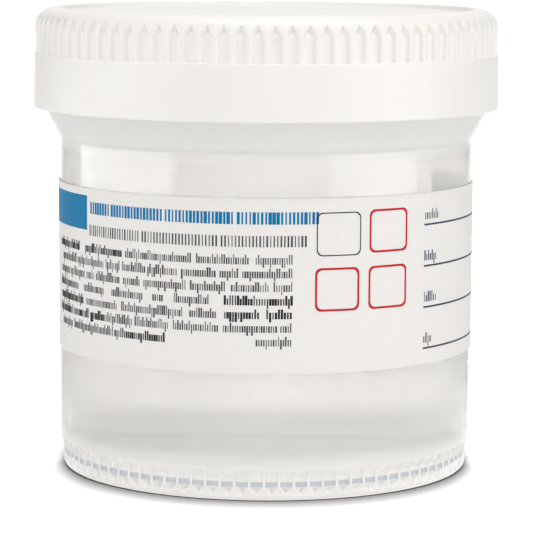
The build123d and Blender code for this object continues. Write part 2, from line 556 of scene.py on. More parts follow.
def end_tree(tree: Tree, geometry: Socket, material: Socket) -> Tree:
    """End a tree in Realize Instances and Set Material.

    Args:
        tree: The tree to end.
        geometry: The shapes made so far.
        material: The tree's material input.

    Returns:
        The finished tree.
    """
    real = add_node(tree, "GeometryNodeRealizeInstances", {"Geometry": geometry})
    dressed = add_node(tree, "GeometryNodeSetMaterial",
                       {"Geometry": real.outputs[0], "Material": material})
    add_node(tree, "NodeGroupOutput", {0: dressed.outputs[0]})
    return tree


def ring_round(tree: Tree, shape: Socket, count: Socket, phase: float | Socket = 0.0) -> Socket:
    """Add the nodes that set copies of a shape round the axis.

    Args:
        tree: The tree that gets the nodes.
        shape: The shape to copy.
        count: How many copies there are.
        phase: Angle of the first one.

    Returns:
        The socket with the copies.
    """
    points = add_node(tree, "GeometryNodePoints", {"Count": count}).outputs[0]
    index = add_node(tree, "GeometryNodeInputIndex").outputs[0]
    angle = calc(tree, "MULTIPLY_ADD", index, calc(tree, "DIVIDE", math.tau, count), phase)
    turn = add_node(tree, "ShaderNodeCombineXYZ", {"Z": angle}).outputs[0]
    return add_node(tree, "GeometryNodeInstanceOnPoints",
                    {"Points": points, "Instance": shape, "Rotation": turn}).outputs[0]


def sector_ring_tree() -> Tree:
    """Make the tree that turns one sector of a moulding into the whole ring.

    Returns:
        The tree, with inputs Count, Weld and Material.
    """
    tree, given = new_tree("sector_ring", [
        ("Count", "Int", 90),
        ("Weld", "Float", 1e-6),
        ("Material", "Material", None),
    ])
    ring = ring_round(tree, given["Geometry"], given["Count"])
    real = add_node(tree, "GeometryNodeRealizeInstances", {"Geometry": ring})
    welded = add_node(tree, "GeometryNodeMergeByDistance",
                      {"Geometry": real.outputs[0], "Distance": given["Weld"]})
    return end_tree(tree, welded.outputs[0], given["Material"])


def wrapped(tree: Tree, flat_shape: Socket, given: dict[str, Socket]) -> Socket:
    """Add the nodes that bend a flat layout round the drafted wall.

    The layout has the arc along X, the lift off the label along -Y and the height along Z.

    Args:
        tree: The tree that gets the nodes.
        flat_shape: The layout's shapes.
        given: The tree's inputs, among them Foot radius and Slope.

    Returns:
        The socket with the bent shapes.
    """
    place = add_node(tree, "GeometryNodeInputPosition").outputs[0]
    flat = add_node(tree, "ShaderNodeSeparateXYZ", {0: place}).outputs
    surface = calc(tree, "MULTIPLY_ADD", flat["Z"], given["Slope"], given["Foot radius"])
    angle = calc(tree, "DIVIDE", flat["X"], surface)
    radius = calc(tree, "SUBTRACT", surface, flat["Y"])
    side = calc(tree, "MULTIPLY", radius, calc(tree, "SINE", angle))
    depth = calc(tree, "MULTIPLY", radius, calc(tree, "COSINE", angle))
    placed = add_node(tree, "ShaderNodeCombineXYZ",
                      {"X": side, "Y": calc(tree, "MULTIPLY", depth, -1.0), "Z": flat["Z"]})
    return add_node(tree, "GeometryNodeSetPosition",
                    {"Geometry": flat_shape, "Position": placed.outputs[0]}).outputs[0]


def plate_wrap_tree() -> Tree:
    """Make the tree that gives flat plates their thickness and bends them round the wall.

    Returns:
        The tree, with inputs Thickness, Foot radius, Slope and Material.
    """
    tree, given = new_tree("plate_wrap", WALL_INPUTS)
    lift = calc(tree, "MULTIPLY", given["Thickness"], -1.0)
    offset = add_node(tree, "ShaderNodeCombineXYZ", {"Y": lift}).outputs[0]
    raised = add_node(tree, "GeometryNodeExtrudeMesh", {
        "Mesh": given["Geometry"], "Offset": offset, "Offset Scale": 1.0, "Individual": False})
    under = add_node(tree, "GeometryNodeFlipFaces", {"Mesh": given["Geometry"]})
    joined = add_node(tree, "GeometryNodeJoinGeometry", {0: under.outputs[0]})
    tree.links.new(raised.outputs["Mesh"], joined.inputs[0])
    closed = add_node(tree, "GeometryNodeMergeByDistance",
                      {"Geometry": joined.outputs[0], "Distance": 1e-6})
    return end_tree(tree, wrapped(tree, closed.outputs[0], given), given["Material"])


def print_row_tree() -> Tree:
    """Make the tree that sets a run of upright marks along each word's line.

    Returns:
        The tree, with inputs for the marks' pitch, width, two heights, two shares and seed.
    """
    tree, given = new_tree("print_row", [
        ("Pitch", "Float", 0.6 * MM),
        ("Width", "Float", 0.3 * MM),
        ("Low", "Float", 1.0 * MM),
        ("High", "Float", 1.4 * MM),
        ("High share", "Float", 0.3),       # marks that stand taller
        ("Drop share", "Float", 0.1),       # marks that hang below the line
        ("Seed", "Int", 7),
        *WALL_INPUTS,
    ])
    lines = add_node(tree, "GeometryNodeMeshToCurve", {"Mesh": given["Geometry"]})
    spaced = add_node(tree, "GeometryNodeResampleCurve",
                      {"Curve": lines.outputs[0], "Length": given["Pitch"]}, mode="LENGTH")
    size = add_node(tree, "ShaderNodeCombineXYZ",
                    {"X": given["Width"], "Y": given["Thickness"], "Z": 1.0})
    block = add_node(tree, "GeometryNodeMeshCube", {"Size": size.outputs[0]})
    stood = add_node(tree, "GeometryNodeTransform",
                     {"Geometry": block.outputs[0], "Translation": (0, 0, 0.5)})
    tall = add_node(tree, "FunctionNodeRandomValue",
                    {"Probability": given["High share"], "Seed": given["Seed"]},
                    data_type="BOOLEAN").outputs["Value"]
    next_seed = calc(tree, "ADD", given["Seed"], 100.0)
    hung = add_node(tree, "FunctionNodeRandomValue",
                    {"Probability": given["Drop share"], "Seed": next_seed},
                    data_type="BOOLEAN").outputs["Value"]
    either = add_node(tree, "FunctionNodeBooleanMath", {0: tall, 1: hung}, operation="OR")
    height = add_node(tree, "GeometryNodeSwitch",
                      {"Switch": either.outputs[0], "False": given["Low"], "True": given["High"]},
                      input_type="FLOAT")
    fall = calc(tree, "MULTIPLY", calc(tree, "SUBTRACT", given["Low"], given["High"]), hung)
    offset = add_node(tree, "ShaderNodeCombineXYZ", {"Z": fall})
    dropped = add_node(tree, "GeometryNodeSetPosition",
                       {"Geometry": spaced.outputs[0], "Offset": offset.outputs[0]})
    stroke = add_node(tree, "FunctionNodeRandomValue",
                      {"Min": 0.6, "Max": 1.45, "Seed": given["Seed"]}, data_type="FLOAT")
    scale = add_node(tree, "ShaderNodeCombineXYZ",
                     {"X": stroke.outputs["Value"], "Y": 1.0, "Z": height.outputs[0]})
    marks = add_node(tree, "GeometryNodeInstanceOnPoints", {
        "Points": dropped.outputs[0], "Instance": stood.outputs[0], "Scale": scale.outputs[0]})
    real = add_node(tree, "GeometryNodeRealizeInstances", {"Geometry": marks.outputs[0]})
    return end_tree(tree, wrapped(tree, real.outputs[0], given), given["Material"])


def thread_tree() -> Tree:
    """Make the tree that runs right-handed thread ridges of a round section along helices.

    Returns:
        The tree, with inputs Starts, Radius, Lead, Turns, Low, Phase, Ridge and Material.
    """
    tree, given = new_tree("thread_ridges", [
        ("Starts", "Int", 2),
        ("Radius", "Float", 33 * MM),
        ("Lead", "Float", 9 * MM),
        ("Turns", "Float", 0.7),
        ("Low", "Float", 57 * MM),
        ("Phase", "Float", 0.0),
        ("Ridge", "Float", 0.6 * MM),
        ("Material", "Material", None),
    ])
    rise = calc(tree, "MULTIPLY", given["Lead"], given["Turns"])
    helix = add_node(tree, "GeometryNodeCurveSpiral", {
        "Resolution": 128, "Rotations": given["Turns"], "Start Radius": given["Radius"],
        "End Radius": given["Radius"], "Height": rise, "Reverse": True})
    share = add_node(tree, "GeometryNodeSplineParameter").outputs["Factor"]
    fade = add_node(tree, "ShaderNodeFloatCurve", {"Value": share})
    curve = fade.mapping.curves[0]
    curve.points[0].location = (0.0, 0.05)      # the ridge tapers away at both ends
    curve.points[1].location = (1.0, 0.05)
    curve.points.new(0.06, 1.0)
    curve.points.new(0.94, 1.0)
    fade.mapping.update()
    ridge = add_node(tree, "GeometryNodeCurvePrimitiveCircle",
                     {"Resolution": 12, "Radius": given["Ridge"]})
    swept = add_node(tree, "GeometryNodeCurveToMesh", {
        "Curve": helix.outputs[0], "Profile Curve": ridge.outputs[0], "Scale": fade.outputs[0],
        "Fill Caps": True})
    ring = ring_round(tree, swept.outputs[0], given["Starts"], given["Phase"])
    up = add_node(tree, "ShaderNodeCombineXYZ", {"Z": given["Low"]})
    lifted = add_node(tree, "GeometryNodeTransform",
                      {"Geometry": ring, "Translation": up.outputs[0]})
    return end_tree(tree, lifted.outputs[0], given["Material"])


# ---------------------------------------------------------------- mouldings


@dataclass(frozen=True)
class Flutes:
    """A ring of drafted flutes that end in a point, sunk into a round side."""

    crest: float                # radius at the ribs
    depth: float
    rib_share: float            # share of the pitch left as rib at the crest
    open_z: float               # height of the open end
    tip_z: float                # height of the point
    taper: float                # height of the pointed end at the crest
    slope_z: float = 0.0        # height past which the floor rises to meet the open end
    open_radius: float = 0.0    # radius of the floor at the open end, if it rises
    count: int = 90
    side_draft: float = 12.0    # degrees
    point_draft: float = 25.0   # degrees
    lean: float = 0.67          # the floor of the pointed end leans in by this share of its height
    edge: float = 0.07          # softened edge of a rib or floor
    point_steps: int = 14       # rows along the pointed end

    @property
    def way(self) -> float:
        """Return 1 if the flutes point up and -1 if they point down."""
        return math.copysign(1, self.tip_z - self.open_z)

    @property
    def full(self) -> float:
        """Half the width of a flute at the crest."""
        return math.pi * self.crest / self.count * (1 - self.rib_share)

    @property
    def roof(self) -> float:
        """How far the pointed end's walls move along the height for each mm of depth."""
        draft = math.tan(math.radians(self.point_draft))
        return draft * math.hypot(self.full, self.taper) / self.full

    @property
    def eave_z(self) -> float:
        """Height at which the floor's pointed end begins."""
        width = self.full - self.depth * math.tan(math.radians(self.side_draft))
        return self.tip_z - self.way * (width * self.taper / self.full + self.depth * self.roof)

    def half_width(self, radius: float, height: float) -> float:
        """Return half the width of a flute at a radius and a height, 0 past its point."""
        inset = self.crest - radius
        left = (self.tip_z - height) * self.way
        side = self.full - inset * math.tan(math.radians(self.side_draft))
        point = (left - inset * self.roof) * self.full / self.taper
        return max(0.0, min(side, point))

    def floor(self, surface: float, height: float) -> float:
        """Return the radius of a flute's floor or valley at a height, at most the surface's."""
        past_eave = (height - self.eave_z) * self.way
        radius = self.crest - self.depth - self.lean * max(0.0, past_eave)
        if self.open_radius and height > self.slope_z:
            share = (height - self.slope_z) / (self.open_z - self.slope_z)
            radius += (self.open_radius - radius) * share
        valley = self.crest - (self.tip_z - height) * self.way / self.roof
        return min(surface, max(radius, valley))

    def reaches(self, height: float) -> bool:
        """Tell whether a height lies on the flutes."""
        return min(self.open_z, self.tip_z) - 1e-6 <= height <= max(self.open_z, self.tip_z) + 1e-6

    def heights(self) -> list[float]:
        """Return the heights at which the flutes' shape needs a row."""
        way, steps = self.way, self.point_steps
        marks = [self.open_z + way * self.edge, self.eave_z - way * self.edge]
        marks += [self.eave_z + (self.tip_z - self.eave_z) * k / steps for k in range(steps)]
        marks += [self.tip_z - way * 0.03, self.tip_z]
        if self.open_radius:
            marks += [self.slope_z - self.edge, self.slope_z, (self.slope_z + self.open_z) / 2]
        return marks

    def columns(self, surface: float, height: float) -> list[tuple[float, float]]:
        """Return one sector's columns at a height of the fluted surface.

        Args:
            surface: Radius of the ribs at this height.
            height: The height.

        Returns:
            Angle and radius of each column, from one rib's centre to the next one's.
        """
        half_pitch = math.pi / self.count
        floor = self.floor(surface, height)
        drop = surface - floor
        edge = min(self.edge, drop * 0.3)
        top = self.half_width(surface, height) / surface
        low = min(self.half_width(floor, height) / floor, top)
        ease = edge / surface
        tilt = (top - low) * (edge / drop) if drop > 1e-6 else 0.0
        half = [
            (0.0, floor),
            (max(0.0, low - ease), floor),
            (min(low + tilt, top), floor + edge),
            (max(top - tilt, low, 0.0), surface - edge),
            (min(top + ease if top > 0 else 0.0, half_pitch * 0.98), surface),
            (half_pitch, surface),
        ]
        return [(-a, r) for a, r in reversed(half[1:])] + half


@dataclass(frozen=True)
class Moulding:
    """A turned plastic wall, some of whose outside may be fluted."""

    name: str
    rows: tuple[Row, ...]
    flutes: Flutes | None = None
    outside: float = 0.0        # radius outside which a row is on the fluted surface
    sectors: int = 90
    weld_mm: float = 0.0006     # seams closer than this are closed

    def plain_columns(self, radius: float) -> list[tuple[float, float]]:
        """Return one sector's columns where the wall is plain."""
        half_pitch = math.pi / self.sectors
        if self.flutes is None:
            return [(-half_pitch, radius), (0.0, radius), (half_pitch, radius)]
        middle = (self.flutes.open_z + self.flutes.eave_z) / 2
        drawn = self.flutes.columns(self.flutes.crest, middle)
        return [(angle, radius) for angle, _ in drawn]

    def sector(self) -> bpy.types.Mesh:
        """Build one sector of the wall, from the axis outside and round to the axis inside."""
        points: list[tuple] = []
        lines: list[list[int]] = []
        for radius, height in self.rows:
            if radius < 1e-6:
                columns = [(0.0, 0.0)]
            elif self.flutes and radius > self.outside and self.flutes.reaches(height):
                columns = self.flutes.columns(radius, height)
            else:
                columns = self.plain_columns(radius)
            lines.append(list(range(len(points), len(points) + len(columns))))
            points += [(r * math.cos(a), r * math.sin(a), height) for a, r in columns]
        faces: list[tuple] = []
        for low, high in zip(lines, lines[1:]):
            wide = max(len(low), len(high))
            for k in range(wide - 1):
                if len(low) == 1:
                    faces.append((low[0], high[k + 1], high[k]))
                elif len(high) == 1:
                    faces.append((low[k], low[k + 1], high[0]))
                else:
                    faces.append((low[k], low[k + 1], high[k + 1], high[k]))
        return mesh_from(self.name, points, faces)

    def build(self, tree: Tree, material: Material, sharp_degrees: float = 50.0) -> bpy.types.Object:
        """Ring the sector round the axis and return the finished, smooth-shaded wall."""
        settings = {"Count": self.sectors, "Weld": self.weld_mm * MM, "Material": material}
        piece = grown(self.name, self.sector(), tree, settings)
        return smoothed(piece, sharp_degrees)


@dataclass(frozen=True)
class Thread:
    """Thread ridges of a round section on a round side, in mm."""

    name: str
    radius: float           # of the ridges' middle
    low: float              # height at which they start
    turns: float
    ridge: float            # radius of their section
    lead: float             # rise of one start in a turn
    phase: float = 0.0      # angle of the first start
    starts: int = 2

    def build(self, tree: Tree, material: Material) -> bpy.types.Object:
        """Grow the ridges and return them as one smooth-shaded piece."""
        seed = mesh_from("thread_seed", [(0, 0, 0)], [])
        return smoothed(grown(self.name, seed, tree, {
            "Starts": self.starts, "Radius": self.radius * MM, "Lead": self.lead * MM,
            "Turns": self.turns, "Low": self.low * MM, "Phase": self.phase,
            "Ridge": self.ridge * MM, "Material": material}))


# ---------------------------------------------------------------- the jar


@dataclass
class Jar:
    """The jar: fluted foot, drafted wall, flared shoulder, collar and neck, with its thread."""

    body_radius: float = 31.6
    body_draft: float = 0.1
    body_height: float = 50.4
    wall: float = 0.95
    floor: float = 1.25
    floor_round: float = 1.0
    foot_height: float = 4.6
    foot_step: float = 0.4
    foot_step_drop: float = 1.1
    foot_wall: float = 0.8
    foot_round: float = 1.0
    inner_step_rise: float = 1.05
    inner_step_run: float = 1.35
    stand_width: float = 2.2
    underside_recess: float = 0.4
    underside_slope: float = 0.6
    flare: float = 2.55
    shoulder_height: float = 4.75
    shoulder_round: float = 0.8
    collar_land: float = 0.6
    collar_step: float = 1.15
    neck_height: float = 10.9
    neck_wall: float = 1.2
    rim_round: float = 0.4
    rib_share: float = 0.18
    flute_depth: float = 0.35
    flute_tip: float = 0.7
    flute_taper: float = 1.2
    soft_edge: float = 0.12
    thread_lead: float = 9.0
    thread_turns: float = 0.72
    thread_ridge: float = 0.55
    thread_rise: float = 1.9    # start of the thread above the neck's foot
    thread_sink: float = 0.02   # how far its middle lies inside the neck

    @property
    def body_foot_radius(self) -> float:
        """Outside radius at the bottom of the drafted wall."""
        return self.body_radius - self.body_draft

    @property
    def foot_radius(self) -> float:
        """Outside radius of the foot's ribs."""
        return self.body_foot_radius - self.foot_step

    @property
    def floor_z(self) -> float:
        """Height of the inside of the floor."""
        return self.underside_recess + self.floor

    @property
    def collar_z(self) -> float:
        """Height of the collar's lower edge."""
        return self.body_height + self.shoulder_height

    @property
    def neck_z(self) -> float:
        """Height at which the neck rises from the collar."""
        return self.collar_z + self.collar_land

    @property
    def rim_z(self) -> float:
        """Height of the rim."""
        return self.neck_z + self.neck_height

    @property
    def collar_radius(self) -> float:
        """Outside radius of the collar."""
        return self.body_radius + self.flare

    @property
    def neck_radius(self) -> float:
        """Outside radius of the neck."""
        return self.collar_radius - self.collar_step

    @property
    def foot_bore_radius(self) -> float:
        """Inside radius at the foot."""
        return self.foot_radius - self.flute_depth - self.foot_wall

    @property
    def inner_step_z(self) -> float:
        """Height at which the inside begins to widen."""
        return self.foot_height + self.inner_step_rise

    @property
    def wide_z(self) -> float:
        """Height at which the inside has widened to the drafted wall."""
        return self.inner_step_z + self.inner_step_run

    def radius_at(self, height: float) -> float:
        """Return the outside radius of the drafted wall at a height."""
        share = (height - self.foot_height) / (self.body_height - self.foot_height)
        return self.body_foot_radius + self.body_draft * share

    def flutes(self) -> Flutes:
        """Return the foot's ring of flutes."""
        return Flutes(crest=self.foot_radius, depth=self.flute_depth, rib_share=self.rib_share,
                      open_z=self.foot_height, tip_z=self.flute_tip, taper=self.flute_taper,
                      slope_z=self.foot_height - self.foot_step_drop,
                      open_radius=self.body_foot_radius)

    def section(self) -> list[Corner]:
        """Return the wall's half-section, from the axis below to the axis above the floor."""
        bore = self.body_radius - self.wall
        flare_angle = math.atan(self.flare / self.shoulder_height)
        flare_z = self.body_height + self.wall * math.tan(flare_angle / 2)
        neck_bore = self.neck_radius - self.neck_wall
        bore_z = flare_z + (neck_bore - bore) / math.tan(flare_angle)
        stand = self.foot_radius - self.foot_round - self.stand_width
        soft = self.soft_edge
        return [
            (0, self.underside_recess, 0),
            (stand - self.underside_slope, self.underside_recess, 2 * soft),
            (stand, 0, soft),
            (self.foot_radius, 0, self.foot_round),
            (self.foot_radius, self.foot_height - self.foot_step_drop, soft),
            (self.body_foot_radius, self.foot_height, soft),
            (self.body_radius, self.body_height, self.shoulder_round),
            (self.collar_radius, self.collar_z, soft),
            (self.collar_radius, self.neck_z, soft),
            (self.neck_radius, self.neck_z, soft),
            (self.neck_radius, self.rim_z, self.rim_round),
            (neck_bore, self.rim_z, self.rim_round),
            (neck_bore, bore_z, 4 * soft),
            (bore, flare_z, 4 * soft),
            (self.body_foot_radius - self.wall, self.wide_z, 2 * soft),
            (self.foot_bore_radius, self.inner_step_z, 2 * soft),
            (self.foot_bore_radius, self.floor_z, self.floor_round),
            (0, self.floor_z, 0),
        ]

    def build(self, ring: Tree, ridges: Tree) -> None:
        """Build the wall and the neck's thread, and set them on the jar's body.

        Args:
            ring: The tree that rings a sector round the axis.
            ridges: The tree that makes thread ridges.
        """
        plastic = JAR_PLASTIC.build()
        flutes = self.flutes()
        inside_of_foot = (self.foot_bore_radius + self.foot_radius - self.flute_depth) / 2
        rows = with_rows(rounded(self.section()), flutes.heights(), inside_of_foot)
        wall = Moulding("jar_moulding", tuple(rows), flutes, inside_of_foot).build(ring, plastic)
        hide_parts("jar")
        thread = Thread("neck_thread", self.neck_radius - self.thread_sink,
                        self.neck_z + self.thread_rise, self.thread_turns, self.thread_ridge,
                        self.thread_lead).build(ridges, plastic)
        for piece in (wall, thread):
            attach(piece, "jar")
            log.info("%s: %d faces", piece.name, len(piece.data.polygons))


# ---------------------------------------------------------------- the liquid


@dataclass
class Contents:
    """The liquid, with the small rise of its edge against the wall."""

    depth: float = 30.4
    clearance: float = 0.04
    creep: float = 0.9          # size of the edge that creeps up the wall
    creep_run: float = 1.6      # its reach inward, in shares of that size
    creep_rise: float = 0.55    # and its height
    creep_steps: int = 8
    step_round: float = 0.24    # round of the liquid at the wall's inner step

    def build(self, jar: Jar, ring: Tree) -> None:
        """Build the liquid to fit the jar, and set it on the jar's body.

        Args:
            jar: The jar that holds it.
            ring: The tree that rings a sector round the axis.
        """
        gap = jar.wall + self.clearance
        low_z = jar.floor_z + self.clearance
        top_z = jar.floor_z + self.depth
        foot = jar.foot_bore_radius - self.clearance
        edge = jar.radius_at(top_z) - gap
        corners: list[Corner] = [
            (0, low_z, 0),
            (foot, low_z, jar.floor_round),
            (foot, jar.inner_step_z, self.step_round),
            (jar.body_foot_radius - gap, jar.wide_z, self.step_round),
            (edge, top_z, 0),
        ]
        surface: list[Row] = []
        for k in range(1, self.creep_steps + 1):
            share = k / self.creep_steps
            fall = (1 - (1 - share) ** 2) * self.creep_rise
            surface.append((edge - self.creep * self.creep_run * share, top_z - self.creep * fall))
        rows = rounded(corners) + surface + [(0, surface[-1][1])]
        liquid = Moulding("liquid_body", tuple(rows), sectors=120).build(ring, LIQUID.build(), 40)
        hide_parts("liquid_fill")
        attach(liquid, "jar")
        log.info("%s: %d faces", liquid.name, len(liquid.data.polygons))


# ---------------------------------------------------------------- the cap


@dataclass
class Cap:
    """The screw cap: smooth band, fluted grip, round shoulder, stacking recess and thread."""

    skirt_overlap: float = 0.65
    skirt_clearance: float = 0.4
    skirt_wall: float = 0.95
    skirt_round: float = 0.25
    mouth_head: float = 1.0
    thread_room: float = 1.0
    ceiling_round: float = 0.4
    band_height: float = 8.3
    band_draft: float = 0.1
    rib_setback: float = 0.15
    band_round: float = 0.12
    top: float = 2.75
    shoulder: float = 2.8
    stacking_depth: float = 0.7
    stacking_clearance: float = 0.3
    stacking_round: float = 0.2
    rib_share: float = 0.28
    flute_depth: float = 0.55
    flute_tip: float = 0.85
    flute_taper: float = 1.95
    soft_edge: float = 0.08
    liner_thickness: float = 0.8
    liner_clearance: float = 0.1
    liner_round: float = 0.15
    thread_ridge: float = 0.5
    thread_turns: float = 0.66
    thread_rise: float = 1.3    # start of the thread above the mouth's edge
    thread_sink: float = 0.02

    def build(self, jar: Jar, ring: Tree, ridges: Tree) -> None:
        """Build the cap, its thread and its liner to fit the jar.

        Args:
            jar: The jar that the cap closes.
            ring: The tree that rings a sector round the axis.
            ridges: The tree that makes thread ridges.
        """
        plastic = CAP_PLASTIC.build()
        skirt_z = jar.neck_z - self.skirt_overlap
        mouth_z = jar.neck_z + self.mouth_head
        ledge_z = skirt_z + self.band_height
        ceiling_z = jar.rim_z + self.liner_thickness
        top_z = ceiling_z + self.top
        mouth_radius = jar.collar_radius + self.skirt_clearance
        bore = jar.neck_radius + self.thread_room
        cap_radius = mouth_radius + self.skirt_wall
        ledge_radius = cap_radius - self.band_draft
        crest = ledge_radius - self.rib_setback
        recess = jar.foot_radius + self.stacking_clearance
        tip_z = top_z - self.flute_tip
        flutes = Flutes(crest=crest, depth=self.flute_depth, rib_share=self.rib_share,
                        open_z=ledge_z, tip_z=tip_z, taper=self.flute_taper)
        corners: list[Corner] = [
            (0, ceiling_z, 0),
            (bore, ceiling_z, self.ceiling_round),
            (bore, mouth_z, self.soft_edge),
            (mouth_radius, mouth_z - (mouth_radius - bore), self.soft_edge),
            (mouth_radius, skirt_z, self.skirt_round),
            (cap_radius, skirt_z, self.skirt_round),
            (ledge_radius, ledge_z, self.band_round),
            (crest, ledge_z, 0),
            (crest, top_z, self.shoulder),
            (recess, top_z, self.stacking_round),
            (recess, top_z - self.stacking_depth, self.stacking_round),
            (0, top_z - self.stacking_depth, 0),
        ]
        outside = (bore + crest - self.flute_depth) / 2
        rows = with_rows(rounded(corners, 6), flutes.heights(), outside)
        rows = [row for row in rows if row[1] != ledge_z or row[0] <= crest + 1e-6]
        wall = Moulding("cap_moulding", tuple(rows), flutes, outside).build(ring, plastic)
        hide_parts("screw_cap")
        thread = Thread("cap_thread", bore + self.thread_sink, mouth_z + self.thread_rise,
                        self.thread_turns, self.thread_ridge, jar.thread_lead,
                        math.pi / 2).build(ridges, plastic)
        for piece in (wall, thread):
            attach(piece, "cap")
            log.info("%s: %d faces", piece.name, len(piece.data.polygons))
        liner_radius = bore - self.ceiling_round - self.liner_clearance
        disc = rounded([
            (0, jar.rim_z, 0),
            (liner_radius, jar.rim_z, self.liner_round),
            (liner_radius, ceiling_z, self.liner_round),
            (0, ceiling_z, 0),
        ])
        liner = Moulding("liner_disc", tuple(disc)).build(ring, FOAM.build())
        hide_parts("cap_liner")
        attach(liner, "liner")
        log.info("%s: %d faces", liner.name, len(liner.data.polygons))


# ---------------------------------------------------------------- the label


@dataclass
class Plates:
    """Flat plates in the label's layout, arc and height in mm, finely cut along the arc."""

    cut: float = 0.6
    points: list[tuple] = field(default_factory=list)
    faces: list[tuple] = field(default_factory=list)

    def field_of(self, left: float, right: float, low: float, high: float) -> None:
        """Add a plain rectangular field."""
        steps = max(1, math.ceil((right - left) / self.cut))
        start = len(self.points)
        for k in range(steps + 1):
            x = left + (right - left) * k / steps
            self.points += [(x, 0, low), (x, 0, high)]
        for k in range(steps):
            a = start + 2 * k
            self.faces.append((a, a + 2, a + 3, a + 1))

    def outline(self, centre: tuple[float, float], width: float, height: float,
                corner: float) -> list[tuple[float, float]]:
        """Return the points of a rounded rectangle, counter-clockwise, at most a cut apart."""
        rim: list[tuple[float, float]] = []
        half_w, half_h = width / 2 - corner, height / 2 - corner
        turns = 6
        for quarter, (sx, sz) in enumerate(((1, -1), (1, 1), (-1, 1), (-1, -1))):
            for k in range(turns + 1):
                angle = math.radians(90 * (quarter - 1) + 90 * k / turns)
                rim.append((centre[0] + sx * half_w + corner * math.cos(angle),
                            centre[1] + sz * half_h + corner * math.sin(angle)))
        full: list[tuple[float, float]] = []
        for (x0, z0), (x1, z1) in zip(rim, rim[1:] + rim[:1]):
            steps = max(1, math.ceil(math.hypot(x1 - x0, z1 - z0) / self.cut))
            full += [(x0 + (x1 - x0) * k / steps, z0 + (z1 - z0) * k / steps) for k in range(steps)]
        return full

    def frame_of(self, centre: tuple[float, float], width: float, height: float,
                 corner: float, stroke: float) -> None:
        """Add the outline of a rounded box, as wide as its stroke."""
        outer = self.outline(centre, width, height, corner)
        inner = [(centre[0] + (x - centre[0]) * (1 - 2 * stroke / width),
                  centre[1] + (z - centre[1]) * (1 - 2 * stroke / height)) for x, z in outer]
        start = len(self.points)
        count = len(outer)
        self.points += [(x, 0, z) for x, z in outer + inner]
        for k in range(count):
            after = (k + 1) % count
            self.faces.append((start + k, start + after, start + count + after, start + count + k))

    def mesh(self, name: str) -> bpy.types.Mesh:
        """Return the plates as one flat mesh."""
        return mesh_from(name, self.points, self.faces)


@dataclass(frozen=True)
class WordRow:
    """A row of print: where its words begin and end along the arc, and its baseline."""

    baseline: float
    spans: tuple[tuple[float, float], ...]


